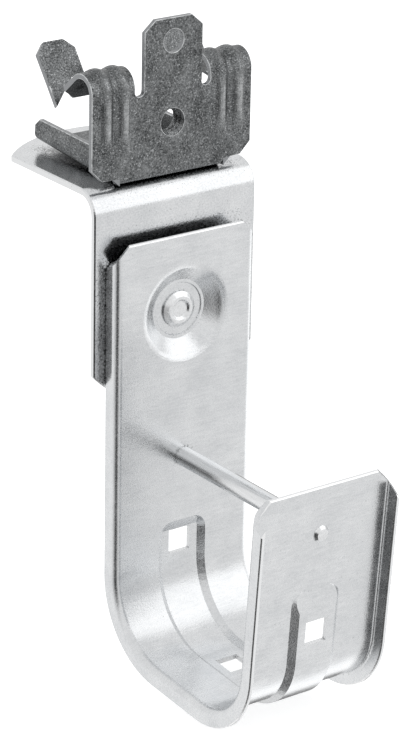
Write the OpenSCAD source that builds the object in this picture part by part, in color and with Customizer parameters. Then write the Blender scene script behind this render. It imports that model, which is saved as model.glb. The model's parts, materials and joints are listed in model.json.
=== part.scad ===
// J hook cable support hung from a beam by a hammer-on flange clip.
// A flanged J-shaped strip holds the cables, an angle bracket carries it, and a
// spring clip on the bracket bites on to the edge of a steel beam.
// +Y points towards the beam, the J opens towards -Y, and the origin is on the
// clip's seat, where the underside of the beam flange rests under its teeth.

/* [Hook strip] */
// Width of the J over its side flanges
hook_w = 38.8; // [32:0.2:44]
// Sheet thickness of the J
hook_t = 1.2; // [1:0.1:1.5]
// Height of the side flanges, which is also the stand-off from the bracket
flange_h = 4.4; // [4:0.1:5.5]
// Outside radius of the bend between strip and side flange
flange_r = 1.9; // [1.6:0.1:2.4]
// Straight length of the back leg, above its bend
back_len = 81.5; // [70:0.5:100]
// Length of the straight base between the two bends
base_len = 17; // [12:0.2:24]
// Straight length of the front lip, above its bend
lip_len = 43; // [30:0.2:50]
// Cable-side radius of the back bend
back_bend_r = 16.8; // [14:0.2:20]
// Cable-side radius of the front bend
front_bend_r = 14.9; // [13:0.1:18]
// Fall of the base towards the lip, in mm per mm of its length
base_fall = 0.07584; // [0:0.00001:0.1]
// Corner cut at the top of the back leg
back_corner = 3.4; // [2:0.1:4]
// Corner cut at the top of the lip
lip_corner = 3.8; // [2:0.1:4.4]
// Fall of the corner cuts over the flanges, in mm per mm of flange height
corner_fall = 0.6; // [0.3:0.05:0.8]
// Distance of the back leg's top edge below the top of the bracket
hook_drop = 12.2; // [8:0.2:16]

/* [Stiffening rib] */
// Width of the rib's flat floor
rib_floor_w = 10.2; // [9:0.2:11]
// Width of the rib where it leaves the strip
rib_top_w = 13.4; // [13:0.2:14.6]
// Depth of the rib
rib_d = 1.2; // [1:0.1:1.4]
// Radius of the rib's corners where it leaves the strip
rib_corner_r = 3.6; // [3:0.1:4.4]
// Length of the rib on the back leg
rib_back_len = 10.6; // [10:0.2:20]
// Length of the ramp that ends the rib on the back leg
rib_back_ramp = 2.6; // [2.4:0.1:4]
// Length of the rib on the lip
rib_lip_len = 17.6; // [14:0.2:24]
// Length of the ramp that ends the rib on the lip
rib_lip_ramp = 5; // [2.4:0.1:6]
// Side of the square holes in the rib
square_hole = 6; // [4.5:0.1:7]
// Height of the back leg's square hole above its bend
hole_back = 4.8; // [4:0.1:5]
// Height of the lip's square hole above its bend
hole_lip = 6.9; // [4:0.1:8]
// Distance of the base's square hole in front of the bracket
hole_base = 25.6; // [24:0.2:33]

/* [Riveted dimple] */
// Width of the round dimple where it leaves the strip
dimple_top_d = 23; // [18:0.2:26]
// Width of the dimple's flat floor
dimple_floor_d = 13.4; // [11:0.2:15]
// Radius of the dimple's soft rim
dimple_rim_r = 4; // [2:0.5:5]
// Depth of the coined floor below the ledge round it
coin_d = 0.3; // [0.1:0.05:0.4]
// Diameter of the rivets' shanks
rivet_d = 4.8; // [4:0.1:5]
// Diameter of the rivet's head in the dimple
hook_head_d = 8.6; // [8:0.1:9]
// Diameter of the rivet's head on the clip's foot
clip_head_d = 6.6; // [6:0.1:6.6]
// Distance of the rivet below the top of the bracket
rivet_drop = 31.2; // [26:0.2:36]

/* [Cross rod] */
// Diameter of the rod between back leg and lip
rod_d = 4.7; // [4:0.1:6]
// Diameter of the tenons staked through the sheet
tenon_d = 3.4; // [3:0.1:3.8]
// Distance of the rod below the top of the bracket
rod_drop = 66.9; // [60:0.5:72]

/* [Angle bracket] */
// Width of the bracket
bracket_w = 44.8; // [42:0.2:48]
// Sheet thickness of the bracket
bracket_t = 1.7; // [1.5:0.1:2]
// Outside radius of the bracket's bend
bracket_r = 5.9; // [4:0.1:8]
// Depth of the bracket's top plate, over the bend
bracket_top = 44.4; // [38:0.2:50]
// Height of the bracket's leg, over the bend
bracket_leg = 54; // [50:0.5:60]
// Radius of the rounded ends of the bracket
bracket_end_r = 30; // [28:1:36]

/* [Beam clip] */
// Width of the clip's front plate
clip_w = 44; // [42:0.2:46]
// Sheet thickness of the clip
clip_t = 1.2; // [1:0.1:1.4]
// Width of the centre tab
tab_w = 15.8; // [14:0.2:17]
// Height of the centre tab above the bracket
tab_top = 37; // [34:0.2:40]
// Width of the slots beside the centre tab
slot_w = 2.5; // [2:0.1:3]
// Height of the slot bottoms above the bracket
slot_foot = 20; // [18:0.2:21]
// Diameter of the threaded hole in the front plate
thread_d = 6.4; // [6:0.1:7]
// Height of the threaded hole above the bracket
thread_up = 12.7; // [11:0.1:14]
// Diameter of the hole in the centre tab
tab_hole_d = 5.5; // [4.5:0.1:6.5]
// Height of the hole in the centre tab above the bracket
tab_hole_up = 31.6; // [30:0.1:32]
// Fall of the arms from arch to tooth, in mm per mm of their length
arm_drop = 0.658944; // [0.6:0.000001:0.7]
// Length of the falling part of an arm
arm_len = 9.85; // [9:0.05:12]
// Lean of the ears away from upright, in mm per mm of their height
ear_set = 0.6; // [0.5:0.01:0.7]
// Height of the ears along their slope
ear_len = 13.2; // [11:0.2:15]
// Length of the lower jaw behind the front plate
jaw_len = 34.6; // [30:0.2:38]
// Height of the jaw's side walls at the front
jaw_wall = 6.7; // [5.5:0.1:7.5]
// Distance of the jaw's rivet behind the bracket's leg
clip_rivet_y = 9.2; // [9:0.1:9.3]
// Rise of the free part of the jaw, in mm per mm of its length
jaw_slope = 0.07584; // [0.05:0.00001:0.1]

/* [Hidden] */

$fn = 64;
over = 1;                 // how far a cutting shape runs past what it cuts
far = 60;                 // enough to cut past any bend or corner
zinc = "#c9cbcd";         // galvanised sheet
zinc_light = "#d9dadb";   // brighter zinc plate on rod and rivets
spring_steel = "#5c5e61"; // phosphated spring steel

// Angles of the slopes above. Each sine has a cosine that ends as soon as it
// does, so that the frames of neighbouring bends meet without a remainder.
back_bend_a = acos(base_fall);        // angle turned by the back bend
front_bend_a = 90;                    // angle turned by the front bend
lip_lean = 90 - back_bend_a;          // lean of the lip away from the back leg
arm_fall = asin(arm_drop);            // fall of the arms below level
ear_lean = asin(ear_set);             // lean of the ears away from upright
jaw_rise = asin(jaw_slope);           // rise of the free part of the jaw

// The hook's places, measured from the bracket: y from its leg, z from its top
back_y = -flange_h;                              // cable-side face of the back leg
back_foot_z = -hook_drop - back_len;             // where the back leg meets its bend
rivet_up = back_len + hook_drop - rivet_drop;    // rivet's height above the back bend
rib_slope = (rib_top_w - rib_floor_w) / 2 / rib_d;   // run of the rib's walls, per mm of depth
corner_tilt = asin(corner_fall / sqrt(2 + corner_fall ^ 2));   // tilt of a corner cut
// The dimple: its depth, the slope of its wall, and the reach of its soft rim
dimple_d = flange_h - hook_t;
dimple_wall_a = atan2(dimple_d, (dimple_top_d - dimple_floor_d) / 2);
rim_reach = dimple_rim_r * tan(dimple_wall_a / 2);
rim_lift = 0.08;                      // how far the rim's circle stands over the face
ledge_in = [0.25, 0.45];              // ledge and coined floor, inside the wall's foot

// The rod and the rivets
shank_gap = 0.05;                     // how much thinner a shank is than its hole
stake_w = 0.45;                       // how far a staked end spreads past its tenon
stake_h = 0.7;                        // height of a staked end
rolled_h = [0.5, 0.8];                // rolled head: height of its rim and of its slope
rolled_in = 1.3;                      // width of the rolled head's slope
rolled_dish = 0.7;                    // depth of the dish in the rolled head
low_head_h = 1.4;                     // height of a rivet's low head
low_head_dome = 0.9;                  // radius of its dome, as a share of its diameter

// The clip's places, measured from the bracket
plate_y = 1.9;                        // front face of the clip's front plate
arch_r = 4.4;                         // outside radius of the arch over the beam edge
arch_z = 21.85;                       // height of the arch's centre
foot_r = 1.6;                         // outside radius of the bend into the jaw
foot_w = 28.8;                        // width of the bend into the jaw
foot_end = 12.6;                      // where the flat foot ends and the jaw rises
foot_flare = 2;                       // spread of the front plate over the foot
clip_half = clip_w / 2;
clip_corner = 2.8;                    // corner cut at the bottom of the front plate
ear_foot = 1.8;                       // height of the front plate's lower corners
tab_cut = [2.9, 2.5];                 // corner cut at the top of the centre tab
arm_in = tab_w / 2 + slot_w;          // inner edge of an arm
arm_rib_r = 4.4;                      // outside radius of an arm's round rib
arm_rib_sink = 3.95;                  // depth of the rib's centre below the face
arm_ribs = [13.4, 18.1];              // places of the two ribs across an arm
arm_rib_foot = 8.6;                   // height where the ribs start on the front plate
arm_rib_run = 4;                      // how far they run down the falling part
ear_in = 11.9;                        // inner edge of an ear
ear_cut = 2.4;                        // corner cut of an ear
barb = 2.4;                           // drop of the barb's point below the bend
barb_run = 5.2;                       // width of the tooth's bend, and of the cut beside the barb
slit_end = [13.9, 3.1];               // blind end of the slit that frees the barb
slit_w = 1.2;                         // width of that slit
vee_r = 0.8;                          // radius inside the tooth's bend
vee_a = 90 - ear_lean + arm_fall;     // angle turned by the tooth's bend
vee_start = vee_r * tan(vee_a / 2);   // length that this bend takes from each face
// Where the tooth's two faces would meet: along the arm, and behind the bracket's leg
vee_run = arm_len + vee_start;
vee_y = plate_y + arch_r + arch_r * sin(arm_fall) + vee_run * cos(arm_fall);
// The jaw's channel
wall_w = foot_w + 0.6;                // width over the side walls
wall_r = foot_r + 0.3;                // outside radius between floor and wall
wall_y = plate_y + clip_t + 1.4;      // front edge of the side walls
wall_fall = 1;                        // fall of the walls' tops towards the rear
jaw_bend_r = 20;                      // radius under the bend from flat to rising
jaw_run = jaw_len - foot_end + plate_y - jaw_bend_r * jaw_slope;   // length of the rising part
jaw_cuts = [1.8, 2];                  // corner cuts at the walls' rear ends, above and below
jaw_floor_back = 3;                   // how far the floor ends short of the walls

// The row's origin: under the teeth, on top of the jaw's walls
seat_y = vee_y;
seat_z = jaw_wall;

// ---------------------------------------------------------------- frames

// Moves what is modelled from the bracket's outer corner into the row's frame.
module from_bracket() translate([0, -seat_y, -seat_z]) children();

// Stands a drawing of y and z upright, so that its extrusion runs along x.
module yz() rotate([90, 0, 90]) children();

// Extrudes a drawing of y and z along x, over a width, about the middle.
module along_x(width) yz() linear_extrude(width, center = true) children();

// Extrudes a drawing of x and z along y, from y0 over a length.
module along_y(y0, length) {
    translate([0, y0 + length, 0]) rotate([90, 0, 0]) linear_extrude(length) children();
}

// A hole of a diameter through a sheet that lies across y, from y0 over a depth.
module hole_y(d, x, z, y0, depth) along_y(y0 - over, depth + 2 * over) translate([x, z]) circle(d = d);

// The same thing on both sides of the middle.
module both_sides() for (side = [-1, 1]) scale([side, 1, 1]) children();

// A strip is followed in a frame of its own: z runs along it, y points into
// the sheet from its reference face. A fold starts at z = 0 and turns about x.

// Frame at the far end of a fold that closes round the reference face.
module after_inner(r, a) translate([0, -r, 0]) rotate([a, 0, 0]) translate([0, r, 0]) children();

// Frame at the far end of a fold with the reference face outside.
module after_outer(r, a) translate([0, r, 0]) rotate([-a, 0, 0]) translate([0, -r, 0]) children();

// Everything on one side of z = 0, enough for any fold.
module half_space(side) translate([0, 0, side * far]) cube(2 * far, center = true);

// The solid of a fold round the reference face, from a drawing of x and depth.
module inner_fold(r, a) {
    intersection() {
        translate([0, -r, 0]) yz() rotate_extrude() translate([r, 0]) mirror([1, -1, 0]) children();
        half_space(1);
        after_inner(r, a) half_space(-1);
    }
}

// The solid of a fold with the reference face outside.
module outer_fold(r, a) {
    intersection() {
        translate([0, r, 0]) yz() rotate_extrude()
            translate([r, 0]) mirror([1, 0, 0]) mirror([1, -1, 0]) children();
        half_space(1);
        after_outer(r, a) half_space(-1);
    }
}

// ---------------------------------------------------------------- sections

// Channel section: a strip of a width with both edges turned down by a height.
module channel(width, height, t, r) {
    translate([-width / 2 + r, 0]) square([width - 2 * r, t]);
    for (side = [-1, 1])
        scale([side, 1]) {
            translate([width / 2 - r, r]) intersection() {
                difference() {
                    circle(r);
                    circle(r - t);
                }
                translate([0, -r]) square(r);
            }
            translate([width / 2 - t, r]) square([t, height - r]);
        }
}

// The rib's trapezium, from above the face down to its floor.
module rib_trapezium(above = 0) {
    polygon([
        [-rib_top_w / 2 - above * rib_slope, -above], [-rib_floor_w / 2, rib_d],
        [rib_floor_w / 2, rib_d], [rib_top_w / 2 + above * rib_slope, -above]
    ]);
}

// Section of the J where the rib runs.
module ribbed_section() {
    difference() {
        union() {
            channel(hook_w, flange_h, hook_t, flange_r);
            translate([0, hook_t]) rib_trapezium();
        }
        rib_trapezium(above = over);
    }
}

// ---------------------------------------------------------------- hook

// The rib's end: it ramps up to the face between two round corners.
module rib_end(length, ramp, above = 0) {
    end = length + above * ramp / rib_d;
    across = rib_top_w / 2 - rib_corner_r;
    deep = rib_d + above;
    intersection() {
        union() {
            linear_extrude(length - rib_corner_r) rib_trapezium(above);
            translate([-across, -above, 0]) cube([2 * across, deep, end]);
            both_sides() translate([across, -above, length - rib_corner_r]) intersection() {
                rotate([-90, 0, 0]) cylinder(
                    h = deep, r1 = rib_corner_r + above * rib_slope, r2 = rib_corner_r - rib_d * rib_slope
                );
                cube(2 * rib_corner_r + deep);
            }
        }
        along_x(far) polygon([[-above, 0], [-above, end], [rib_d, length - ramp], [rib_d, 0]]);
    }
}

// Cuts the corner of a leg in one slanting plane, through strip and flange.
module corner_cut(length, corner) {
    translate([hook_w / 2 - corner, 0, length])
        rotate([-corner_tilt, 45, 0])
            translate([-far / 4, -far / 4, 0]) cube(far / 2);
}

// One straight leg of the J, standing on its bend, with rib, hole and corners.
module leg(length, rib_length, ramp, hole_at, corner) {
    difference() {
        union() {
            linear_extrude(length) channel(hook_w, flange_h, hook_t, flange_r);
            translate([0, hook_t, 0]) rib_end(rib_length, ramp);
        }
        rib_end(rib_length, ramp, above = over);
        along_y(-over, flange_h + 2 * over) translate([0, hole_at]) square(square_hole, center = true);
        both_sides() corner_cut(length, corner);
    }
}

// The dimple's outer form: a blunt cone with its axis along y.
module dimple_boss() {
    rotate([-90, 0, 0]) cylinder(h = dimple_d, d1 = dimple_top_d, d2 = dimple_floor_d);
}

// What is pressed out of the dimple: a soft rim, a sloping wall, and a ledge
// round the coined floor, drawn as radius and depth.
module dimple_dish() {
    rim = dimple_top_d / 2;
    foot = dimple_floor_d / 2;
    rotate([-90, 0, 0]) rotate_extrude() difference() {
        polygon([
            [0, -over], [rim + rim_reach, -over], [rim + rim_reach, 0],
            [rim - rim_reach * cos(dimple_wall_a), rim_reach * sin(dimple_wall_a)],
            [foot + coin_d / tan(dimple_wall_a), dimple_d - coin_d],
            [foot - ledge_in[0], dimple_d - coin_d], [foot - ledge_in[1], dimple_d], [0, dimple_d]
        ]);
        translate([rim + rim_reach, dimple_rim_r - rim_lift]) circle(dimple_rim_r);
    }
}

// The J: back leg, two bends and lip in one strip, with flanges and rib throughout.
module j_hook() {
    color(zinc) from_bracket() difference() {
        translate([0, back_y, back_foot_z]) {
            difference() {
                union() {
                    leg(back_len, rib_back_len, rib_back_ramp, hole_back, back_corner);
                    translate([0, hook_t, rivet_up]) dimple_boss();
                }
                translate([0, 0, rivet_up]) dimple_dish();
            }
            // from the foot of the back leg on, down and forwards
            mirror([0, 0, 1]) {
                inner_fold(back_bend_r, back_bend_a) ribbed_section();
                after_inner(back_bend_r, back_bend_a) {
                    linear_extrude(base_len) ribbed_section();
                    translate([0, 0, base_len]) {
                        inner_fold(front_bend_r, front_bend_a) ribbed_section();
                        after_inner(front_bend_r, front_bend_a)
                            leg(lip_len, rib_lip_len, rib_lip_ramp, hole_lip, lip_corner);
                    }
                }
            }
        }
        // holes for the rivet and for the rod's tenons, and the square hole in the base
        hole_y(rivet_d, 0, -rivet_drop, back_y, flange_h);
        hole_y(tenon_d, 0, -rod_drop, -far, far);
        translate([0, -hole_base, back_foot_z - back_bend_r])
            cube([square_hole, square_hole, back_bend_r], center = true);
    }
}

// ---------------------------------------------------------------- rod and rivets

// Cross rod, shouldered between back leg and lip, with tenons staked outside.
module cross_rod() {
    lip_y = lip_face_y(rod_drop);
    stake_r = tenon_d / 2 + stake_w;
    color(zinc_light) from_bracket() translate([0, 0, -rod_drop]) {
        difference() {
            along_y(lip_y - over, back_y - lip_y + over) circle(d = rod_d);
            // the lip's cable-side face, which leans
            translate([0, lip_y, 0]) rotate([lip_lean, 0, 0])
                translate([0, -far, 0]) cube(2 * far, center = true);
        }
        along_y(lip_y - hook_t - stake_h / 2, back_y - lip_y + 2 * hook_t + stake_h)
            circle(d = tenon_d - shank_gap);
        // staked ends, square to the sheets they hold
        for (end = [[lip_y, 0, lip_lean], [back_y, 180, 0]])
            translate([0, end[0], 0]) rotate([end[2], 0, end[1]]) translate([0, -hook_t, 0])
                rotate([90, 0, 0]) cylinder(h = stake_h, r1 = stake_r, r2 = stake_r - stake_h);
    }
}

// y of the lip's cable-side face at a distance below the bracket's top.
function lip_face_y(drop) =
    let (
        turn = back_bend_a + front_bend_a,
        base_y = back_y - back_bend_r * (1 - cos(back_bend_a)) - base_len * sin(back_bend_a),
        base_z = back_foot_z - back_bend_r * sin(back_bend_a) - base_len * cos(back_bend_a),
        axis_y = base_y - front_bend_r * cos(back_bend_a),
        axis_z = base_z + front_bend_r * sin(back_bend_a),
        foot_y = axis_y + front_bend_r * cos(turn),
        foot_z = axis_z - front_bend_r * sin(turn)
    )
    foot_y - (-drop - foot_z) * tan(lip_lean);

// Rivet along z: a shank through a grip, a low head below and a rolled head above.
module rivet(grip, head_d) {
    dome_r = low_head_dome * head_d;
    rolled_r = head_d / 2 - rolled_in;
    height = rolled_h[0] + rolled_h[1];
    translate([0, 0, -over / 2]) cylinder(h = grip + over, d = rivet_d - shank_gap);
    // factory head, a low dome
    intersection() {
        translate([0, 0, -low_head_h]) cylinder(h = low_head_h, d = head_d);
        translate([0, 0, dome_r - low_head_h]) sphere(dome_r);
    }
    // rolled head: a sloping ring round a dished centre
    translate([0, 0, grip]) difference() {
        union() {
            cylinder(h = rolled_h[0], d = head_d);
            translate([0, 0, rolled_h[0]]) cylinder(h = rolled_h[1], r1 = head_d / 2, r2 = rolled_r);
        }
        translate([0, 0, height - rolled_dish])
            cylinder(h = 2 * rolled_dish, r1 = rolled_r - rolled_dish - over / 2, r2 = rolled_r + over / 2);
    }
}

// Rivet through the floor of the dimple and the bracket's leg.
module hook_rivet() {
    color(zinc_light) from_bracket()
        translate([0, bracket_t, -rivet_drop]) rotate([90, 0, 0]) rivet(bracket_t + hook_t, hook_head_d);
}

// Rivet through the clip's foot and the bracket's top plate.
module clip_rivet() {
    color(zinc_light) from_bracket()
        translate([0, clip_rivet_y, -bracket_t]) rivet(bracket_t + clip_t, clip_head_d);
}

// ---------------------------------------------------------------- bracket

// Outline of one arm of the bracket: straight sides and a rounded end.
module bracket_arm(length) {
    intersection() {
        translate([-bracket_w / 2, 0]) square([bracket_w, length]);
        translate([0, length - bracket_end_r]) circle(bracket_end_r);
    }
}

// Angle bracket: a leg and a top plate round one bend.
module angle_bracket() {
    color(zinc) from_bracket() difference() {
        translate([0, 0, -bracket_r]) {
            mirror([0, 0, 1]) along_y(0, bracket_t) bracket_arm(bracket_leg - bracket_r);
            outer_fold(bracket_r, 90) translate([-bracket_w / 2, 0]) square([bracket_w, bracket_t]);
            translate([0, bracket_r, bracket_r - bracket_t])
                linear_extrude(bracket_t) bracket_arm(bracket_top - bracket_r);
        }
        hole_y(rivet_d, 0, -rivet_drop, 0, bracket_t);
        translate([0, clip_rivet_y, -bracket_t - over]) cylinder(h = bracket_t + 2 * over, d = rivet_d);
    }
}

// ---------------------------------------------------------------- clip

// The strip of an arm in which its ribs may stand: x and depth, down to mid-sheet.
module rib_room() {
    translate([arm_in, arm_rib_sink - arm_rib_r])
        square([clip_half - arm_in, arm_rib_r - arm_rib_sink + clip_t / 2]);
}

// Section of an arm: x from its inner to its outer edge, with two round ribs.
module arm_section() {
    difference() {
        union() {
            translate([arm_in, 0]) square([clip_half - arm_in, clip_t]);
            intersection() {
                for (x = arm_ribs) translate([x, arm_rib_sink]) circle(arm_rib_r);
                rib_room();
            }
        }
        for (x = arm_ribs) translate([x, arm_rib_sink]) circle(arm_rib_r - clip_t);
    }
}

// Round end of the arm's ribs, at z = 0, outside or inside the sheet.
module rib_tips(r) {
    for (x = arm_ribs) translate([x, arm_rib_sink, 0]) sphere(r);
}

// A stretch of arm on which the ribs fade out in round tips, before its end.
module fading_arm(rib_length) {
    difference() {
        union() {
            linear_extrude(rib_length) arm_section();
            translate([0, 0, rib_length]) intersection() {
                rib_tips(arm_rib_r);
                linear_extrude(arm_rib_r) rib_room();
            }
            children();
        }
        translate([0, 0, rib_length]) rib_tips(arm_rib_r - clip_t);
    }
}

// Right half of the front plate, with its half of the centre tab, in x and z.
module half_front() {
    slot_z = slot_foot + slot_w / 2;
    difference() {
        polygon([
            [0, foot_r], [foot_w / 2, foot_r], [foot_w / 2, 0], [foot_w / 2 + foot_flare, ear_foot],
            [clip_half - clip_corner, ear_foot], [clip_half, ear_foot + clip_corner],
            [clip_half, arch_z], [arm_in, arch_z], [arm_in, slot_z], [tab_w / 2, slot_z],
            [tab_w / 2, tab_top - tab_cut[1]], [tab_w / 2 - tab_cut[0], tab_top], [0, tab_top]
        ]);
        translate([(tab_w + slot_w) / 2, slot_z]) circle(d = slot_w);
    }
}

// Outline of a tooth in the plane of the ear: x, and height above the bend.
// A slanting slit frees the barb, whose point drops below the bend.
module ear_outline() {
    polygon([
        [clip_half, -barb], [clip_half, ear_len - ear_cut], [clip_half - ear_cut, ear_len],
        [ear_in + ear_cut, ear_len], [ear_in, ear_len - ear_cut],
        [ear_in, vee_start], [ear_in + barb_run, vee_start], slit_end,
        slit_end + [0, slit_w], slit_end + [slit_w, slit_w]
    ]);
}

// One arm beyond the front plate: arch, falling part, tooth and ear.
module arm() {
    outer_fold(arch_r, 90 + arm_fall) arm_section();
    after_outer(arch_r, 90 + arm_fall) {
        difference() {
            fading_arm(arm_rib_run)
                translate([arm_in, 0, 0]) cube([clip_half - arm_in, clip_t, arm_len]);
            // the outer corner is cut away beside the barb, and the inner edge steps in
            along_y(-2 * over, clip_t + 4 * over) polygon([
                [clip_half, vee_run - barb_run], [clip_half + over, vee_run - barb_run - over],
                [clip_half + over, arm_len + over], [clip_half - barb_run - over, vee_run + over]
            ]);
            translate([0, -over, arm_len - ear_cut]) cube([ear_in, clip_t + 2 * over, 2 * ear_cut]);
        }
        translate([0, 0, arm_len]) {
            inner_fold(vee_r, vee_a) translate([ear_in, 0]) square([barb_run, clip_t]);
            after_inner(vee_r, vee_a) translate([0, 0, -vee_start])
                mirror([0, 1, 0]) rotate([90, 0, 0]) linear_extrude(clip_t) ear_outline();
        }
    }
}

// Section of the jaw's channel, with its side walls.
module jaw_section() channel(wall_w, jaw_wall, clip_t, wall_r);

// Lower jaw: a channel, flat on the bracket and then rising, whose side walls
// carry the beam flange.
module jaw() {
    end_h = jaw_wall - wall_fall;
    // z runs to the rear and y up from the underside
    translate([0, wall_y, 0]) rotate([90, 0, 0]) mirror([0, 0, 1]) {
        linear_extrude(foot_end - wall_y) jaw_section();
        translate([0, 0, foot_end - wall_y]) {
            outer_fold(jaw_bend_r, jaw_rise) jaw_section();
            after_outer(jaw_bend_r, jaw_rise) difference() {
                linear_extrude(jaw_run) jaw_section();
                // the walls' tops fall back to the rear, and their ends are cornered
                along_x(wall_w + 2 * over) polygon([
                    [jaw_wall, 0], [end_h, jaw_run - jaw_cuts[0]], [end_h - jaw_cuts[0], jaw_run],
                    [end_h - jaw_cuts[0], jaw_run + over], [jaw_wall + over, jaw_run + over],
                    [jaw_wall + over, 0]
                ]);
                along_x(wall_w + 2 * over) polygon([
                    [-over, jaw_run - jaw_cuts[1]], [clip_t, jaw_run + over], [-over, jaw_run + over]
                ]);
                // the floor ends short of the walls
                translate([-wall_w / 2 + wall_r + over / 2, -over, jaw_run - jaw_floor_back])
                    cube([wall_w - 2 * wall_r - over, clip_t + 2 * over, jaw_floor_back + over]);
            }
        }
    }
}

// Beam clip: front plate, two toothed arms and the lower jaw in one sheet.
module beam_clip() {
    rib_run = arch_z - arm_rib_foot;
    color(spring_steel) from_bracket() difference() {
        union() {
            both_sides() {
                along_y(plate_y, clip_t) half_front();
                translate([0, plate_y, arch_z]) {
                    mirror([0, 0, 1]) fading_arm(rib_run);
                    arm();
                }
            }
            // bend into the foot, and the flat foot on the bracket
            translate([0, plate_y, foot_r]) mirror([0, 0, 1])
                outer_fold(foot_r, 90) translate([-foot_w / 2, 0]) square([foot_w, clip_t]);
            translate([-foot_w / 2, plate_y + foot_r, 0])
                cube([foot_w, wall_y - plate_y - foot_r, clip_t]);
            jaw();
        }
        // the grooves behind the front plate's ribs
        both_sides() for (x = arm_ribs) translate([x, plate_y + arm_rib_sink, arm_rib_foot]) {
            cylinder(h = rib_run, r = arm_rib_r - clip_t);
            sphere(arm_rib_r - clip_t);
        }
        hole_y(thread_d, 0, thread_up, plate_y, clip_t);
        hole_y(tab_hole_d, 0, tab_hole_up, plate_y, clip_t);
        translate([0, clip_rivet_y, -over]) cylinder(h = clip_t + 2 * over, d = rivet_d);
    }
}

j_hook();
angle_bracket();
beam_clip();
cross_rod();
hook_rivet();
clip_rivet();
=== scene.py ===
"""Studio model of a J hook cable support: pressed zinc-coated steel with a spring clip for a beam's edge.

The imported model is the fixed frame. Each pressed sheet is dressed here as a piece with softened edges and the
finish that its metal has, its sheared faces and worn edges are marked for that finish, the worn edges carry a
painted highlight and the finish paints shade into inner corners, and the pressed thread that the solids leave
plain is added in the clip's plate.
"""

import json
import logging
import math
from dataclasses import dataclass
from enum import Enum
from typing import Any, Optional, Sequence

import bmesh
import bpy
from mathutils import Matrix, Vector

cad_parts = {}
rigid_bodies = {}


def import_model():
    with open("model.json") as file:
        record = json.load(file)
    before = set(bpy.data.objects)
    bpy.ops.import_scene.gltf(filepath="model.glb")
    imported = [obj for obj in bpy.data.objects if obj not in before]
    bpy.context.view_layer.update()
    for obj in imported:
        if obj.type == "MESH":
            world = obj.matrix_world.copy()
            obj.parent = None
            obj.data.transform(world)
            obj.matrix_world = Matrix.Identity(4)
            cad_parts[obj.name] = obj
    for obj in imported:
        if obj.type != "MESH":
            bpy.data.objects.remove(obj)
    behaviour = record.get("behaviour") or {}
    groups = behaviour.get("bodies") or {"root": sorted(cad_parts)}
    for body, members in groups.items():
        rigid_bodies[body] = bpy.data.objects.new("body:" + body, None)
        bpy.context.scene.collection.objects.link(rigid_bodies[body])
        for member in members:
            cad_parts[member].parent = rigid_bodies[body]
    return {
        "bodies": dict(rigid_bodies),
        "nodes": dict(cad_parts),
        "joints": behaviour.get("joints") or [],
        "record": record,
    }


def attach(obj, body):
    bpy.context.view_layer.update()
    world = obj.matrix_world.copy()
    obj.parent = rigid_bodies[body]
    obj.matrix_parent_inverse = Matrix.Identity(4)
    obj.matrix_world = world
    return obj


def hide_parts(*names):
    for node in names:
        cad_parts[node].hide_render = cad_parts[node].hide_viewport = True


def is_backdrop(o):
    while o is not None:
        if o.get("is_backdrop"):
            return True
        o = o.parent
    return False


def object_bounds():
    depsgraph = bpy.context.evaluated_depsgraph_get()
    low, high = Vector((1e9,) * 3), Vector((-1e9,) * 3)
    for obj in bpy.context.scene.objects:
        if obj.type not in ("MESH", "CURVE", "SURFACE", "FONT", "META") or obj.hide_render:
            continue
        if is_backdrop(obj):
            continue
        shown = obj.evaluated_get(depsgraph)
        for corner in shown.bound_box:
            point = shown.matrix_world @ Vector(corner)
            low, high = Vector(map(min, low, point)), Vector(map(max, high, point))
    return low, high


log = logging.getLogger("j_hook")

MM = 0.001  # metres
ROOT = "root"
WORN_AND_HIGHLIT = "worn_and_highlit"  # says how far a face is rubbed and lit by a painted highlight, which is 1 on a softened edge
CUT = "cut"  # is 1 on the sheared faces of a sheet
MERGE_MM = 0.0004  # points closer than this are one point
ON_PLANE = 1e-7  # metres within which a point lies on a cutting plane
SHADE_DEG = 40.0  # a fold sharper than this is shaded as an edge
# Settings that nodes share
ADD = {"operation": "ADD"}
MULTIPLY = {"operation": "MULTIPLY"}
MULTIPLY_ADD = {"operation": "MULTIPLY_ADD"}
MAXIMUM = {"operation": "MAXIMUM"}
MIX = {"data_type": "RGBA"}
TINT = MIX | {"blend_type": "MULTIPLY"}
SPREAD = ((0.36, 0.0), (0.64, 1.0))  # stretches a sum of noises over the whole range from 0 to 1
Colour = tuple[float, float, float, float]


class Slot(Enum):
    """The record's material slots."""

    ZINC_SHEET = "zinc_sheet"
    ZINC_PLATE = "zinc_plate"
    SPRING_STEEL = "spring_steel"


class Grain(Enum):
    """The way the mill's lines run on a piece, as the stretch of its pattern along x, y and z."""

    ACROSS = (1 / 7, 1.0, 1.0)
    ALONG_ROD = (1.0, 1 / 12, 1.0)


# ------------------------------------------------------------------------------------------------ small helpers


def linear(code: str) -> Colour:
    """Turns an sRGB hex colour into linear light.

    Args:
        code: six hex digits, with or without a leading hash.

    Returns:
        Linear red, green and blue, and an alpha of 1.
    """
    digits = code.lstrip("#")
    values = [int(digits[i : i + 2], 16) / 255 for i in (0, 2, 4)]
    red, green, blue = (v / 12.92 if v <= 0.04045 else ((v + 0.055) / 1.055) ** 2.4 for v in values)
    return red, green, blue, 1.0


def waves(size_mm: float) -> float:
    """Turns the size of a pattern's features into the scale of its noise."""
    return 1 / (size_mm * MM)


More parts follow.
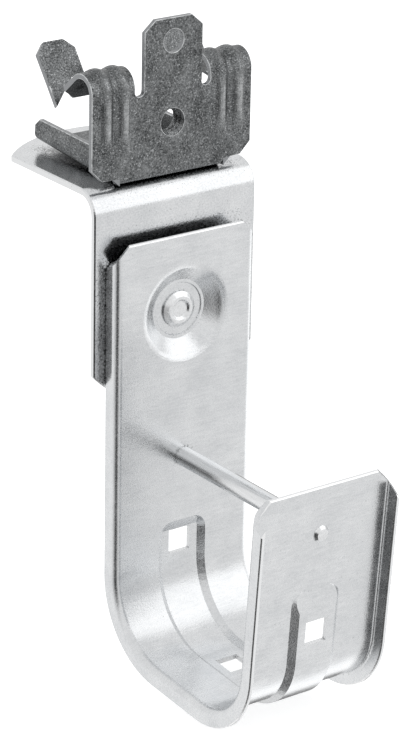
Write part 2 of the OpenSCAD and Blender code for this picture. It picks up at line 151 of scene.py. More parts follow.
def add_node(
    tree: bpy.types.NodeTree,
    kind: str,
    settings: Optional[dict[str, Any]] = None,
    stops: Sequence[tuple[float, float]] = (),
    **links: Any,
) -> bpy.types.Node:
    """Adds a node, sets it up and feeds its inputs.

    Args:
        tree: the node tree.
        kind: the node's type name, without its ShaderNode.
        settings: attributes of the node itself.
        stops: places and grey values, for a colour ramp.
        **links: inputs by name, with _ for a space, or i0, i1 for an input by its place. A socket is linked and
            anything else becomes the input's value.

    Returns:
        The new node.
    """
    node = tree.nodes.new("ShaderNode" + kind)
    for name, value in (settings or {}).items():
        setattr(node, name, value)
    for _ in stops[2:]:
        node.color_ramp.elements.new(0.5)
    for i, (place, grey) in enumerate(stops):
        node.color_ramp.elements[i].position = place
        node.color_ramp.elements[i].color = (grey, grey, grey, 1)
    for name, value in links.items():
        by_place = name[0] == "i" and name[1:].isdigit()
        socket = node.inputs[int(name[1:])] if by_place else node.inputs[name.replace("_", " ")]
        if isinstance(value, bpy.types.NodeSocket):
            tree.links.new(value, socket)
        else:
            socket.default_value = value
    return node


def new_material(name: str) -> bpy.types.Material:
    """Makes a material with an empty node tree.

    Args:
        name: the material's name.

    Returns:
        The material.
    """
    material = bpy.data.materials.new(name)
    material.use_nodes = True
    material.node_tree.nodes.clear()
    return material


def place_mesh(name: str, mesh: bpy.types.Mesh, material: bpy.types.Material) -> bpy.types.Object:
    """Puts a mesh in the scene as an object of one material.

    Args:
        name: the object's name.
        mesh: its mesh.
        material: its only material.

    Returns:
        The object, at the origin.
    """
    mesh.materials.clear()
    mesh.materials.append(material)
    thing = bpy.data.objects.new(name, mesh)
    bpy.context.scene.collection.objects.link(thing)
    return thing


# ------------------------------------------------------------------------------------------------ finishes


@dataclass(frozen=True)
class Wear:
    """What the shears and handling do to a finish: bare cut faces, rubbed edges with a painted highlight, painted
    shade in inner corners.
    """

    cut: str  # colour of a sheared face
    rubbed_and_highlit: str  # colour of an edge that handling has polished, pale enough to paint a highlight on it
    rub_and_highlight: float  # how much of an edge is rubbed and painted with that highlight
    corner_shade: float  # brightness that the painted shade leaves in a tight corner
    reach_mm: float = 1.4  # how far the painted shade spreads out of a corner
    frost: float = 0.9  # how far a cut face is from a clean metal mirror
    patch_mm: float = 1.5  # size of the patches of rub and painted highlight
    between: float = 0.4  # share of the rub and painted highlight that is left between the patches
    fleck_mm: float = 0.45  # size of the flecks that the painted corner shade breaks up into
    fleck: float = 1.6  # how strongly it breaks up

    def over(
        self, tree: bpy.types.NodeTree, colour: bpy.types.NodeSocket, metallic: float
    ) -> tuple[bpy.types.NodeSocket, bpy.types.NodeSocket]:
        """Lays the wear, the painted edge highlight and the painted corner shade over a finish.

        Args:
            tree: the material's node tree.
            colour: the finish's own colour.
            metallic: the finish's own metallic value.

        Returns:
            The worn colour and the worn metallic value.
        """
        cut = add_node(tree, "Attribute", {"attribute_name": CUT}).outputs["Fac"]
        colour = add_node(tree, "Mix", MIX, Factor=cut, i6=colour, i7=linear(self.cut)).outputs[2]
        # The rubbed faces are turned pale: part wear, part a painted highlight.
        worn_and_highlit = add_node(tree, "Attribute", {"attribute_name": WORN_AND_HIGHLIT}).outputs["Fac"]
        place = add_node(tree, "TexCoord").outputs["Object"]
        patches = add_node(tree, "TexNoise", Vector=place, Scale=waves(self.patch_mm), Detail=2.0).outputs["Fac"]
        least = self.between * self.rub_and_highlight
        share = add_node(tree, "MapRange", Value=patches, i1=0.35, i2=0.55, i3=least, i4=self.rub_and_highlight).outputs[0]
        rubbed_and_highlit = add_node(tree, "Math", MULTIPLY, i0=worn_and_highlit, i1=share).outputs[0]
        # Painted shade: where the occlusion finds a corner closed in, the colour is darkened, broken up into
        # flecks.
        open_sky = add_node(tree, "AmbientOcclusion", {"samples": 8}, Distance=self.reach_mm * MM).outputs["AO"]
        flecks = add_node(tree, "TexNoise", Vector=place, Scale=waves(self.fleck_mm), Detail=1.0).outputs["Fac"]
        flecks = add_node(tree, "Math", MULTIPLY_ADD, i0=flecks, i1=self.fleck, i2=-self.fleck / 2).outputs[0]
        open_sky = add_node(tree, "Math", ADD, i0=open_sky, i1=flecks).outputs[0]
        corner_shading = add_node(tree, "MapRange", Value=open_sky, i1=0.3, i2=0.7, i3=self.corner_shade, i4=1.0).outputs[0]
        colour = add_node(tree, "Mix", TINT, Factor=1.0, i6=colour, i7=corner_shading).outputs[2]
        colour = add_node(tree, "Mix", MIX, Factor=rubbed_and_highlit, i6=colour, i7=linear(self.rubbed_and_highlit)).outputs[2]
        shine = add_node(tree, "MapRange", Value=cut, i3=metallic, i4=metallic * (1 - self.frost)).outputs[0]
        return colour, shine


@dataclass(frozen=True)
class ZincSheet:
    """Hot-dip galvanised steel strip, skin-passed after dipping.

    The zinc skin is pale and half glossy. It shows short faint rolling lines, soft clouds where the coat is
    thicker, and a fine tooth that breaks up the edge of every dark reflection.
    """

    name: str
    grain: Grain = Grain.ACROSS
    pale: str = "#EBECED"
    dull: str = "#D2D4D6"
    roughness: float = 0.24
    tooth: float = 0.5  # strength of the tooth
    streak: float = 0.3  # share of the rolling lines in the colour
    line_mm: float = 0.5  # spacing of the rolling lines, drawn coarser than the real 0.1 mm so that they show
    cloud_mm: float = 8.0  # size of the clouds in the coat
    cloud: float = 0.4  # share of the clouds in the colour
    tooth_mm: float = 0.4  # grain of the skin, drawn coarser than the real 0.05 mm so that it shows
    depth_mm: float = 0.05  # depth of the tooth
    wear: Wear = Wear(cut="#E6E7E8", rubbed_and_highlit="#FFFFFF", rub_and_highlight=0.9, corner_shade=0.5, frost=0.85)

    def build(self) -> bpy.types.Material:
        """Makes the material from the values above.

        Returns:
            The material.
        """
        material = new_material(self.name)
        tree = material.node_tree
        place = add_node(tree, "TexCoord").outputs["Object"]
        rolled = add_node(tree, "Mapping", Vector=place, Scale=self.grain.value).outputs["Vector"]
        lines = add_node(tree, "TexNoise", Vector=rolled, Scale=waves(self.line_mm), Detail=3.0, Roughness=0.6)
        clouds = add_node(tree, "TexNoise", Vector=place, Scale=waves(self.cloud_mm), Detail=4.0, Roughness=0.6)
        tooth = add_node(tree, "TexNoise", Vector=place, Scale=waves(self.tooth_mm), Detail=2.0)
        lines, clouds, tooth = (pattern.outputs["Fac"] for pattern in (lines, clouds, tooth))
        mixed = add_node(tree, "Math", MULTIPLY_ADD, i0=tooth, i1=1 - self.cloud - self.streak, i2=0.0).outputs[0]
        mixed = add_node(tree, "Math", MULTIPLY_ADD, i0=lines, i1=self.streak, i2=mixed).outputs[0]
        mixed = add_node(tree, "Math", MULTIPLY_ADD, i0=clouds, i1=self.cloud, i2=mixed).outputs[0]
        spread = add_node(tree, "ValToRGB", stops=SPREAD, Fac=mixed).outputs["Color"]
        dull, pale = linear(self.dull), linear(self.pale)
        colour = add_node(tree, "Mix", MIX, Factor=spread, i6=dull, i7=pale).outputs[2]
        low, high = self.roughness - 0.05, self.roughness + 0.08
        rough = add_node(tree, "MapRange", Value=mixed, i1=0.35, i2=0.65, i3=low, i4=high).outputs[0]
        height = add_node(tree, "Math", MULTIPLY_ADD, i0=lines, i1=self.streak, i2=tooth).outputs[0]
        depth = self.depth_mm * MM
        normal = add_node(tree, "Bump", Strength=self.tooth, Distance=depth, Height=height).outputs["Normal"]
        colour, shine = self.wear.over(tree, colour, metallic=1.0)
        shader = add_node(
            tree, "BsdfPrincipled", Base_Color=colour, Metallic=shine, Roughness=rough, Normal=normal
        )
        add_node(tree, "OutputMaterial", Surface=shader.outputs[0])
        return material


@dataclass(frozen=True)
class ZincPlate:
    """Bright zinc plate on drawn wire and cold-headed rivets.

    Smoother and shinier than the sheet, with drawing lines along the wire.
    """

    name: str
    grain: Grain = Grain.ALONG_ROD
    colour: str = "#ECEDEE"
    roughness: float = 0.2
    line_mm: float = 0.45  # spacing of the drawing lines, drawn coarser than they are so that they show
    line: float = 0.35  # strength of the drawing lines
    depth_mm: float = 0.02  # depth of the drawing lines
    wear: Wear = Wear(cut="#ECEDEE", rubbed_and_highlit="#F4F4F5", rub_and_highlight=0.5, corner_shade=0.6, reach_mm=0.8, frost=0.3)

    def build(self) -> bpy.types.Material:
        """Makes the material from the values above.

        Returns:
            The material.
        """
        material = new_material(self.name)
        tree = material.node_tree
        place = add_node(tree, "TexCoord").outputs["Object"]
        drawn = add_node(tree, "Mapping", Vector=place, Scale=self.grain.value).outputs["Vector"]
        lines = add_node(tree, "TexNoise", Vector=drawn, Scale=waves(self.line_mm), Detail=3.0).outputs["Fac"]
        tone = add_node(tree, "MapRange", Value=lines, i1=0.3, i2=0.7, i3=0.88, i4=1.06).outputs[0]
        colour = add_node(tree, "Mix", TINT, Factor=1.0, i6=linear(self.colour), i7=tone).outputs[2]
        low, high = self.roughness - 0.05, self.roughness + 0.1
        rough = add_node(tree, "MapRange", Value=lines, i1=0.3, i2=0.7, i3=low, i4=high).outputs[0]
        depth = self.depth_mm * MM
        normal = add_node(tree, "Bump", Strength=self.line, Distance=depth, Height=lines).outputs["Normal"]
        colour, shine = self.wear.over(tree, colour, metallic=1.0)
        shader = add_node(
            tree, "BsdfPrincipled", Base_Color=colour, Metallic=shine, Roughness=rough, Normal=normal
        )
        add_node(tree, "OutputMaterial", Surface=shader.outputs[0])
        return material


@dataclass(frozen=True)
class PhosphatedSteel:
    """Spring steel, hardened and phosphated.

    The phosphate is a dark grey crust of fine crystals, mottled and pricked with painted glints on pale grains,
    that shines only softly. Where the blank was sheared the steel is bare and bright.
    """

    name: str
    dark: str = "#2C2E2F"
    light: str = "#8F9192"
    # colour of the painted glints that prick the crust
    glint: str = "#D2D4D6"
    metallic: float = 0.85
    roughness: float = 0.27
    grain_mm: float = 0.33  # size of the crystal clumps, drawn coarser than the real 0.05 mm so that they show
    crust: float = 0.8  # strength of the crystals' relief
    depth_mm: float = 0.05  # depth of the crystals' relief
    cloud_mm: float = 5.0  # size of the mottling
    cloud: float = 0.25  # share of the mottling in the colour
    wear: Wear = Wear(cut="#8A8C8E", rubbed_and_highlit="#D8DADB", rub_and_highlight=0.9, corner_shade=0.3, frost=0.5)

    def build(self) -> bpy.types.Material:
        """Makes the material from the values above.

        Returns:
            The material.
        """
        material = new_material(self.name)
        tree = material.node_tree
        place = add_node(tree, "TexCoord").outputs["Object"]
        grain = add_node(tree, "TexNoise", Vector=place, Scale=waves(self.grain_mm), Detail=3.0, Roughness=0.65)
        clouds = add_node(tree, "TexNoise", Vector=place, Scale=waves(self.cloud_mm), Detail=3.0)
        grain, clouds = grain.outputs["Fac"], clouds.outputs["Fac"]
        mixed = add_node(tree, "Math", MULTIPLY_ADD, i0=grain, i1=1 - self.cloud, i2=0.0).outputs[0]
        mixed = add_node(tree, "Math", MULTIPLY_ADD, i0=clouds, i1=self.cloud, i2=mixed).outputs[0]
        spread = add_node(tree, "ValToRGB", stops=SPREAD, Fac=mixed).outputs["Color"]
        dark, light = linear(self.dark), linear(self.light)
        colour = add_node(tree, "Mix", MIX, Factor=spread, i6=dark, i7=light).outputs[2]
        # Painted glints: pale pricks where the crystal grain stands highest.
        glint_pricks = add_node(tree, "ValToRGB", stops=[(0.62, 0.0), (0.72, 1.0)], Fac=grain).outputs["Color"]
        colour = add_node(tree, "Mix", MIX, Factor=glint_pricks, i6=colour, i7=linear(self.glint)).outputs[2]
        low, high = self.roughness - 0.08, self.roughness + 0.12
        rough = add_node(tree, "MapRange", Value=grain, i1=0.3, i2=0.7, i3=high, i4=low).outputs[0]
        depth = self.depth_mm * MM
        normal = add_node(tree, "Bump", Strength=self.crust, Distance=depth, Height=grain).outputs["Normal"]
        colour, shine = self.wear.over(tree, colour, self.metallic)
        shader = add_node(
            tree, "BsdfPrincipled", Base_Color=colour, Metallic=shine, Roughness=rough, Normal=normal
        )
        add_node(tree, "OutputMaterial", Surface=shader.outputs[0])
        return material


# ------------------------------------------------------------------------------------------------ pieces


@dataclass
class PressedPiece:
    """A piece of the frame, copied with its edges softened as tumbling and pressing leave them."""

    node: str
    slot: Slot
    finish: bpy.types.Material
    sheet_mm: float  # thickness of its sheet, or 0 where it isn't made of sheet
    edge_mm: float  # width of the softened edge
    edge_deg: float = 60.0  # a fold sharper than this is an edge
    crease_deg: float = 40.0  # a fold sharper than this stays a crease in the shading
    segments: int = 2  # faces across a softened edge, which is a flat chamfer where there is only one
    shallow_deg: float = 20.0  # an edge isn't softened where another runs beside it within this angle
    wary: bool = False  # leaves all edges of a face sharp where the face has an inner corner
    sliver_mm: float = 0.02  # a face thinner than this is closed up
    tries: int = 8  # times that softening is tried, each time leaving out what folded over
    clear_mm: float = 2.5  # how near to a fold-over the edges are left out
    wall_mm: float = 2.5  # a face between creases that is narrower than this is shaded flat
    flat_deg: float = 0.2  # faces that fold by less than this become one
    cut_share: float = 1.25  # a face between edges that is narrower than this many sheets is a sheared one
    short_share: float = 2.0  # an edge isn't softened beside one shorter than this many times edge_mm
    fault_deg: float = 150.0  # a fold sharper than this shows that the softening folded over

    def folded(self, shape: bmesh.types.BMesh, least_deg: float) -> set[bmesh.types.BMEdge]:
        """Finds the edges at which a mesh folds by more than an angle, outwards or inwards."""
        least = math.radians(least_deg)
        return {edge for edge in shape.edges if edge.is_manifold and edge.calc_face_angle() > least}

    def middle(self, edge: bmesh.types.BMEdge) -> Vector:
        """Finds the middle of an edge."""
        return (edge.verts[0].co + edge.verts[1].co) / 2

    def roomy(self, edge: bmesh.types.BMEdge, sharp: set[bmesh.types.BMEdge]) -> bool:
        """Tells whether an edge has room to be softened without running into its neighbours.

        Args:
            edge: the edge.
            sharp: the piece's sharp edges.

        Returns:
            False beside an inner corner, a very short edge or an edge that runs nearly along it.
        """
        inner, least = -math.radians(self.edge_deg), math.radians(self.shallow_deg)
        near = {vert for face in edge.link_faces for vert in face.verts} if self.wary else set(edge.verts)
        around = {other for vert in near for other in vert.link_edges if other.is_manifold}
        if any(other.calc_face_angle_signed(0.0) < inner for other in around):
            return False
        for vert in edge.verts:
            along = edge.other_vert(vert).co - vert.co
            for other in set(vert.link_edges) - sharp:
                if other.calc_length() < self.short_share * self.edge_mm * MM:
                    return False
                if along.angle(other.other_vert(vert).co - vert.co, 0.0) < least:
                    return False
        return True

    def narrow(self, face: bmesh.types.BMFace, edges: set[bmesh.types.BMEdge], width_mm: float) -> bool:
        """Tells whether a face is narrow between some edges, as a sheared face and the wall of a rib are.

        Args:
            face: the face.
            edges: the edges.
            width_mm: the width that it has to be under.

        Returns:
            True where the face has some of the edges and is narrower.
        """
        length = sum(edge.calc_length() for edge in face.edges if edge in edges)
        return length > 0 and 2 * face.calc_area() / length < width_mm * MM

    def press(self, shape: bmesh.types.BMesh) -> None:
        """Presses forms into the merged mesh before its edges are softened."""

    def merge(self, mesh: bpy.types.Mesh) -> bmesh.types.BMesh:
        """Merges the loose triangles of a mesh, marks its sheared faces and sets its shading.

        Args:
            mesh: a copy of a node's mesh.

        Returns:
            The merged mesh.
        """
        shape = bmesh.new()
        shape.from_mesh(mesh)
        shape.faces.layers.float.new(WORN_AND_HIGHLIT)
        cut = shape.faces.layers.float.new(CUT)
        bmesh.ops.remove_doubles(shape, verts=shape.verts, dist=MERGE_MM * MM)
        bmesh.ops.dissolve_degenerate(shape, edges=shape.edges, dist=self.sliver_mm * MM)
        flat = math.radians(self.flat_deg)
        bmesh.ops.dissolve_limit(
            shape, angle_limit=flat, verts=shape.verts, edges=shape.edges, delimit={"NORMAL"}
        )
        sharp = self.folded(shape, self.edge_deg)
        creases = self.folded(shape, self.crease_deg) - sharp
        for face in shape.faces:
            face[cut] = float(self.narrow(face, sharp, self.cut_share * self.sheet_mm))
            face.smooth = not self.narrow(face, creases, self.wall_mm)
        for edge in shape.edges:
            edge.smooth = edge not in creases
        return shape

    def bevelled(
        self, shape: bmesh.types.BMesh, chosen: dict[int, Vector]
    ) -> tuple[bmesh.types.BMesh, list[bmesh.types.BMFace]]:
        """Softens some edges on a copy of a mesh.

        Args:
            shape: the merged mesh.
            chosen: the middles of the edges to soften, by index.

        Returns:
            The copy, and its new faces.
        """
        trial = shape.copy()
        trial.edges.ensure_lookup_table()
        soft = bmesh.ops.bevel(
            trial,
            geom=[trial.edges[index] for index in sorted(chosen)],
            offset=self.edge_mm * MM,
            offset_type="OFFSET",
            affect="EDGES",
            segments=self.segments,
            profile=0.5,
            material=-1,
            clamp_overlap=False,
        )
        return trial, soft["faces"]

    def soften(self, mesh: bpy.types.Mesh) -> None:
        """Softens a mesh's sharp edges, apart from those beside which that would fold it over.

        Args:
            mesh: a copy of a node's mesh, which is changed in place.
        """
        shape = self.merge(mesh)
        self.press(shape)
        sharp = self.folded(shape, self.edge_deg)
        shape.edges.index_update()
        chosen = {edge.index: self.middle(edge) for edge in sharp if self.roomy(edge, sharp)}
        trial, soft = self.bevelled(shape, chosen)
        clear = self.clear_mm * MM
        for _ in range(self.tries - 1):
            faults = [self.middle(edge) for edge in self.folded(trial, self.fault_deg)]
            if not faults:
                break
            trial.free()
            chosen = {i: spot for i, spot in chosen.items() if all((spot - f).length > clear for f in faults)}
            trial, soft = self.bevelled(shape, chosen)
        worn_and_highlit, cut = (trial.faces.layers.float[name] for name in (WORN_AND_HIGHLIT, CUT))
        # The softened edges are fully rubbed, which also paints a highlight on them.
        for face in soft:
            face[worn_and_highlit] = 1.0
            face[cut] = 0.0
            face.smooth = self.segments > 1
        for edge in self.folded(trial, SHADE_DEG):
            edge.smooth = False
        trial.to_mesh(mesh)
        trial.free()
        shape.free()

    def build(self, frame: dict[str, Any]) -> bpy.types.Object:
        """Makes the piece and lets it stand for its node.


        Returns:
            The piece.
        """
        mesh = frame["nodes"][self.node].data.copy()
        mesh.name = self.node + "_pressed"
        self.soften(mesh)
        piece = place_mesh(mesh.name, mesh, self.finish)
        even = piece.modifiers.new("even_shading", "WEIGHTED_NORMAL")
        even.keep_sharp = True
        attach(piece, ROOT)
        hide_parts(self.node)
        return piece


@dataclass
class RibbedClip(PressedPiece):
    """The spring clip, with the crowns of its arms' ribs pressed out to their full, rounder height."""

    rib_x_mm: tuple[float, float] = (13.4, 18.1)  # middles of an arm's two ribs
    rib_half_mm: float = 1.95
    crown_mm: float = 0.6  # how far the crown rises above the plain rib
    arch_share: float = 0.4  # how much of that is left over the arch
    rub_and_highlight: float = 0.45  # how far the crowns are rubbed and lit by a painted highlight
    arch_mm: tuple[float, float] = (-10.96, 15.15)  # y and z of the axis that the arms turn over
    foot_mm: tuple[float, float] = (1.9, 5.9)  # heights between which a rib rises from the plate
    over_top_deg: float = 35.0  # how far past the arch's top the crown fades out
    rings: int = 5  # cuts across a rib's foot
    turn_mm: float = 3.0  # height under the arch's axis over which the crown sinks to its share over the arch

    def off_rib(self, place: Vector) -> float:
        """Measures how far across a point is from the middle of the nearest rib, in millimetres."""
        return min(abs(abs(place.x / MM) - rib) for rib in self.rib_x_mm)

    def crown(self, place: Vector) -> Vector:
        """Works out how far the crown moves a point.

        Args:
            place: the point, in metres.

        Returns:
            The move, in metres.
        """
        _, y, z = place / MM
        off = self.off_rib(place)
        if off >= self.rib_half_mm:
            return Vector()
        across, up = y - self.arch_mm[0], z - self.arch_mm[1]
        out = Vector((0, -1, 0)) if up < 0 else Vector((0, across, up)).normalized()
        low, high = self.foot_mm
        rise = min(max((z - low) / (high - low), 0.0), 1.0) if across < 0 else float(up > 0)
        past = math.degrees(math.atan2(across, up)) if up > 0 else 0.0
        fade = min(max(1 - past / self.over_top_deg, 0.0), 1.0)
        height = self.crown_mm * math.cos(math.pi / 2 * off / self.rib_half_mm) ** 2
        lower = 1 - (1 - self.arch_share) * min(max((up + self.turn_mm) / self.turn_mm, 0.0), 1.0)
        return out * height * rise * fade * lower * MM

    def press(self, shape: bmesh.types.BMesh) -> None:
        """Cuts rings across the ribs, marks their crowns for rub and a painted highlight, and lifts them.

        Args:
            shape: the merged mesh.
        """
        low, high = self.foot_mm
        heights = [low + (high - low) * ring / (self.rings - 1) for ring in range(self.rings)]
        heights += [self.arch_mm[1] - self.turn_mm, self.arch_mm[1] - self.turn_mm / 2]
        for height in heights:
            ribs = [face for face in shape.faces if self.off_rib(face.calc_center_median()) < self.rib_half_mm]
            edges = list(dict.fromkeys(edge for face in ribs for edge in face.edges))
            verts = list(dict.fromkeys(vert for edge in edges for vert in edge.verts))
            level = Vector((0, 0, height * MM))
            bmesh.ops.bisect_plane(
                shape, geom=ribs + edges + verts, dist=ON_PLANE, plane_co=level, plane_no=(0, 0, 1)
            )
        # The crowns are marked for rub and a painted highlight, strongest where they rise most.
        worn_and_highlit = shape.faces.layers.float[WORN_AND_HIGHLIT]
        for face in shape.faces:
            lift = self.crown(face.calc_center_median()).length / (self.crown_mm * MM)
            face[worn_and_highlit] = self.rub_and_highlight * lift**2
        for vert in shape.verts:
            vert.co += self.crown(vert.co)


@dataclass
class PressedThread:
    """The thread in the clip's plate: a short collar drawn out behind the sheet, with a cut ridge inside."""

    centre: Vector  # middle of the hole in the plate, in metres
    radius_mm: float  # radius of the hole
    sheet_mm: float  # thickness of the plate
    finish: bpy.types.Material
    crest_mm: float = 0.65  # height of the ridge
    pitch_mm: float = 1.27  # of a 1/4-20 thread
    half_share: float = 0.42  # half the ridge's width, as a share of the pitch
    collar_mm: float = 3.2  # how far the collar stands behind the plate
    wall_mm: float = 0.7  # thickness of the collar
    flare_mm: float = 0.4  # how far the collar flares where it leaves the plate
    taper_mm: float = 0.1  # how much the collar thins towards its end
    seam_mm: float = 0.05  # how deep the ridge and the collar sink into their neighbours
    steps: int = 36  # round one turn

    def outline(
        self, shape: bmesh.types.BMesh, place: Vector, profile: Sequence[tuple[float, float]]
    ) -> list[Any]:
        """Draws the closed profile that a spin turns.

        Args:
            shape: the mesh that it is added to.
            place: its origin on the hole's axis, in metres.
            profile: its corners, as the distance from the axis and the depth, in millimetres.

        Returns:
            Its points and edges.
        """
        corners = [shape.verts.new(place + Vector((x, y, 0)) * MM) for x, y in profile]
        return corners + [shape.edges.new((corners[i], corners[i - 1])) for i in range(len(corners))]

    def ridge(self, shape: bmesh.types.BMesh) -> None:
        """Winds a triangular ridge along the hole.

        Args:
            shape: the mesh that the ridge is added to.
        """
        front = self.centre + Vector((0, -self.sheet_mm / 2 * MM, 0))
        half = self.half_share * self.pitch_mm
        root, crest = self.radius_mm + self.seam_mm, self.radius_mm - self.crest_mm
        length = self.sheet_mm + self.collar_mm - 2 * half
        turns = length / self.pitch_mm
        count = round(turns * self.steps)
        bmesh.ops.spin(
            shape,
            geom=self.outline(shape, front, [(root, 0.0), (crest, half), (root, 2 * half)]),
            cent=front,
            axis=(0, 1, 0),
            dvec=(0, length * MM / count, 0),
            angle=math.tau * turns,
            steps=count,
            use_merge=False,
            use_duplicate=False,
        )
        bmesh.ops.holes_fill(shape, edges=shape.edges, sides=3)

    def collar(self, shape: bmesh.types.BMesh) -> None:
        """Turns the collar behind the plate.

        Args:
            shape: the mesh that the collar is added to.
        """
        back = self.centre + Vector((0, self.sheet_mm / 2 * MM, 0))
        inner, outer, end = self.radius_mm, self.radius_mm + self.wall_mm, self.collar_mm
        sunk, flare = -self.seam_mm, self.flare_mm
        foot = [(inner, sunk), (outer + flare, sunk), (outer, flare)]
        rim = [(outer - self.taper_mm, end), (inner, end)]
        bmesh.ops.spin(
            shape,
            geom=self.outline(shape, back, foot + rim),
            cent=back,
            axis=(0, 1, 0),
            angle=math.tau,
            steps=self.steps,
            use_merge=True,
            use_duplicate=False,
        )

    def build(self) -> bpy.types.Object:
        """Makes the thread as one piece.

        Returns:
            The piece.
        """
        mesh = bpy.data.meshes.new("pressed_thread")
        shape = bmesh.new()
        self.collar(shape)
        self.ridge(shape)
        bmesh.ops.remove_doubles(shape, verts=shape.verts, dist=MERGE_MM * MM)
        bmesh.ops.recalc_face_normals(shape, faces=shape.faces)
        for face in shape.faces:
            face.smooth = True
        shape.to_mesh(mesh)
        shape.free()
        piece = place_mesh(mesh.name, mesh, self.finish)
        mesh.set_sharp_from_angle(angle=math.radians(SHADE_DEG))
        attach(piece, ROOT)
        return piece


# ------------------------------------------------------------------------------------------------ studio


@dataclass
class Studio:
    """Floor, light tent, lamp and camera."""

    azimuth_deg: float = -36.584
    elevation_deg: float = 21.884
    roll_deg: float = 1.151
    distance: float = 0.7097  # metres from the camera to its target
    target: tuple[float, float, float] = (0.0016, -0.02824, -0.0515)
    lens_mm: float = 148.5
    clip_start: float = 0.01
    floor_drop: float = 0.004  # metres from the object down to the floor
    floor_size: float = 1.2  # metres from the floor's middle to its sides
    paper: str = "#F2F2F2"
    paper_glow: float = 0.5  # light added to the paper where it is seen as background
    # The tent's wall below the horizon, as directions in degrees from the front (-Y) towards the right (+X), and
    # how bright it is there: a black card at the front left, a bright one at the right, a dark gap behind it
    wall: tuple[tuple[float, float], ...] = (
        (-180, 0.90),
        (-143, 0.97),
        (-100, 0.92),
        (-74, 0.55),
        (-57, 0.04),
        (-36, 0.05),
        (-29, 0.45),
        (-20, 0.7),
        (-5, 0.84),
        (37, 0.87),
        (65, 0.95),
        (82, 1.4),
        (112, 1.4),
        (121, 0.5),
        (129, 0.1),
        (140, 0.3),
        (155, 0.85),
        (180, 0.90),
    )
    roof: float = 0.9  # brightness of the tent's roof
    wall_strength: float = 1.4  # the brightest that the wall may be
    horizon: tuple[float, float] = (-0.1, 0.25)  # heights of a direction between which wall turns to roof

    def camera(self) -> None:
        """Places the camera at the viewing angle and makes it the scene's."""
        angles = (self.azimuth_deg, self.elevation_deg, self.roll_deg)
        azimuth, elevation, roll = (math.radians(angle) for angle in angles)
        level = math.cos(elevation)
        back = Vector((math.sin(azimuth) * level, -math.cos(azimuth) * level, math.sin(elevation)))
        data = bpy.data.cameras.new("camera")
        data.lens = self.lens_mm
        data.clip_start = self.clip_start
        camera = bpy.data.objects.new("camera", data)
        turn = back.to_track_quat("Z", "Y").to_matrix().to_4x4() @ Matrix.Rotation(roll, 4, "Z")
        camera.matrix_world = Matrix.Translation(Vector(self.target) + back * self.distance) @ turn
        bpy.context.scene.collection.objects.link(camera)
        bpy.context.scene.camera = camera

    def background_rays(self, tree: bpy.types.NodeTree) -> bpy.types.NodeSocket:
        """Tells the rays that show the background from those that light the object.

        Args:
            tree: the node tree of the floor or the world.

        Returns:
            A socket that is 1 for what the camera, metal and glass show.
        """
        rays = add_node(tree, "LightPath").outputs
        some = add_node(tree, "Math", MAXIMUM, i0=rays["Is Camera Ray"], i1=rays["Is Glossy Ray"]).outputs[0]
        return add_node(tree, "Math", MAXIMUM, i0=some, i1=rays["Is Transmission Ray"]).outputs[0]

    def floor(self, low: float) -> None:
        """Lays the pale floor under the object.

        Args:
            low: the height of the object's lowest point.
        """
        shape = bmesh.new()
        bmesh.ops.create_grid(shape, x_segments=1, y_segments=1, size=self.floor_size)
        bmesh.ops.translate(shape, verts=shape.verts, vec=(0, 0, low - self.floor_drop))
        mesh = bpy.data.meshes.new("floor")
        shape.to_mesh(mesh)
        shape.free()
        material = new_material("floor_paper")
        tree = material.node_tree
        paper = add_node(tree, "BsdfDiffuse", Color=linear(self.paper)).outputs[0]
        glow = add_node(tree, "Emission", Color=(1, 1, 1, 1), Strength=self.paper_glow).outputs[0]
        lit = add_node(tree, "AddShader", i0=paper, i1=glow).outputs[0]
        seen = add_node(tree, "MixShader", Fac=self.background_rays(tree), i1=paper, i2=lit).outputs[0]
        add_node(tree, "OutputMaterial", Surface=seen)
        floor = place_mesh("floor", mesh, material)
        floor.visible_glossy = False
        floor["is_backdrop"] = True

    def tent(self) -> None:
        """Lights the object from all round through a white tent, with a dark card low on the left."""
        world = bpy.data.worlds.new("tent")
        bpy.context.scene.world = world
        world.use_nodes = True
        world.cycles.sampling_method = "NONE"
        tree = world.node_tree
        tree.nodes.clear()
        way = add_node(tree, "TexCoord").outputs["Generated"]
        parts = add_node(tree, "SeparateXYZ", Vector=way).outputs
        front = add_node(tree, "Math", MULTIPLY, i0=parts["Y"], i1=-1.0).outputs[0]
        turn = add_node(tree, "Math", {"operation": "ARCTAN2"}, i0=parts["X"], i1=front).outputs[0]
        turn = add_node(tree, "MapRange", Value=turn, i1=-math.pi, i2=math.pi).outputs[0]
        stops = [((way_deg + 180) / 360, bright / self.wall_strength) for way_deg, bright in self.wall]
        wall = add_node(tree, "ValToRGB", stops=stops, Fac=turn).outputs["Color"]
        soft, (low, high) = {"interpolation_type": "SMOOTHSTEP"}, self.horizon
        above = add_node(tree, "MapRange", soft, Value=parts["Z"], i1=low, i2=high).outputs[0]
        white, roof = (1, 1, 1, 1), (self.roof / self.wall_strength,) * 3 + (1,)
        mirrored = add_node(tree, "Mix", MIX, Factor=above, i6=wall, i7=roof).outputs[2]
        room = add_node(tree, "Background", Color=white, Strength=1.0).outputs[0]
        shown = add_node(tree, "Background", Color=mirrored, Strength=self.wall_strength).outputs[0]
        plain = add_node(tree, "Background", Color=white, Strength=1.0).outputs[0]
        seen = add_node(tree, "MixShader", Fac=self.background_rays(tree), i1=room, i2=shown).outputs[0]
        direct = add_node(tree, "LightPath").outputs["Is Camera Ray"]
        seen = add_node(tree, "MixShader", Fac=direct, i1=seen, i2=plain).outputs[0]
        add_node(tree, "OutputWorld", Surface=seen)

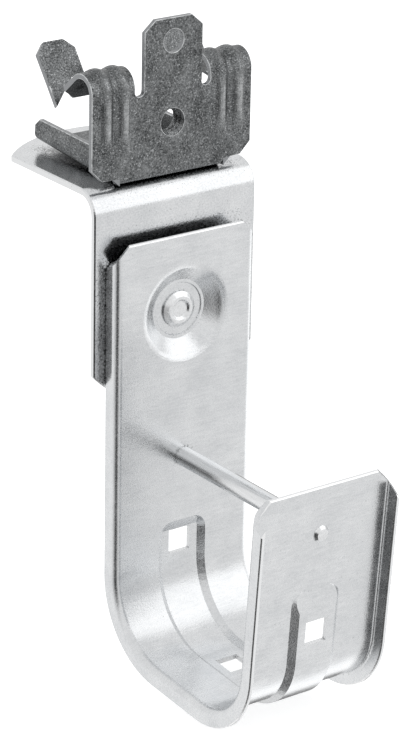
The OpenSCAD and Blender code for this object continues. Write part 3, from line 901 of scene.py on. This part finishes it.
    def lamp(self, name: str, way: tuple[float, float, float], size: float, power: float) -> None:
        """Hangs a soft square lamp that looks at the object.

        Args:
            name: the lamp's name.
            way: where it hangs, in metres from what the camera looks at.
            size: its side, in metres.
            power: its power in watts.
        """
        data = bpy.data.lights.new(name, "AREA")
        data.shape = "SQUARE"
        data.size = size
        data.energy = power
        lamp = bpy.data.objects.new(name, data)
        turn = (-Vector(way)).to_track_quat("-Z", "Y").to_matrix().to_4x4()
        lamp.matrix_world = Matrix.Translation(Vector(self.target) + Vector(way)) @ turn
        bpy.context.scene.collection.objects.link(lamp)

    def build(self, low: float) -> None:
        """Sets up the whole studio.

        Args:
            low: the height of the object's lowest point.
        """
        self.camera()
        self.floor(low)
        self.tent()
        self.lamp("box_above", way=(0.46, -0.48, 0.38), size=0.75, power=0.85)
        bpy.context.scene.view_settings.view_transform = "Standard"


# ------------------------------------------------------------------------------------------------ assembly


def main() -> None:
    """Builds the object piece by piece and reports what was made."""
    logging.basicConfig(level=logging.INFO, format="%(name)s: %(message)s")
    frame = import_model()
    cad_low, cad_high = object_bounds()
    Studio().build(cad_low[2])
    strip_zinc = ZincSheet("galvanised_strip").build()
    # The bracket's painted corner shade reaches far, to paint shadow on it where the clip and the hook close it
    # in.
    shaded = Wear(cut="#E4E5E6", rubbed_and_highlit="#FAFAFA", rub_and_highlight=0.2, corner_shade=0.2, reach_mm=5.0)
    angle_zinc = ZincSheet("galvanised_angle", cloud_mm=12.0, roughness=0.17, streak=0.1, wear=shaded).build()
    plate_zinc = ZincPlate("bright_zinc_plate").build()
    spring = PhosphatedSteel("phosphated_spring_steel").build()
    strip_mm, angle_mm, clip_mm = 1.2, 1.7, 1.2  # thicknesses of the three sheets
    solid = {"sheet_mm": 0.0, "edge_mm": 0.05}  # what the pieces that aren't sheet have in common
    pieces = [
        PressedPiece("j_hook", Slot.ZINC_SHEET, strip_zinc, strip_mm, edge_mm=0.26, segments=1, crease_deg=15.0),
        PressedPiece("angle_bracket", Slot.ZINC_SHEET, angle_zinc, angle_mm, edge_mm=0.3, segments=1),
        RibbedClip("beam_clip", Slot.SPRING_STEEL, spring, clip_mm, edge_mm=0.15, wary=True, shallow_deg=35.0),
        PressedPiece("cross_rod", Slot.ZINC_PLATE, plate_zinc, **solid),
        PressedPiece("hook_rivet", Slot.ZINC_PLATE, plate_zinc, **solid),
        PressedPiece("clip_rivet", Slot.ZINC_PLATE, plate_zinc, **solid),
    ]
    made = [piece.build(frame) for piece in pieces]
    hole = next(mount for mount in frame["record"]["mounts"] if mount["name"] == "rod_hole")
    made.append(PressedThread(Vector(hole["pos_m"]), hole["dims"]["r_mm"], clip_mm, spring).build())
    for piece in made:
        log.info("%s: %d faces", piece.name, len(piece.data.polygons))


if __name__ == "__main__":
    main()
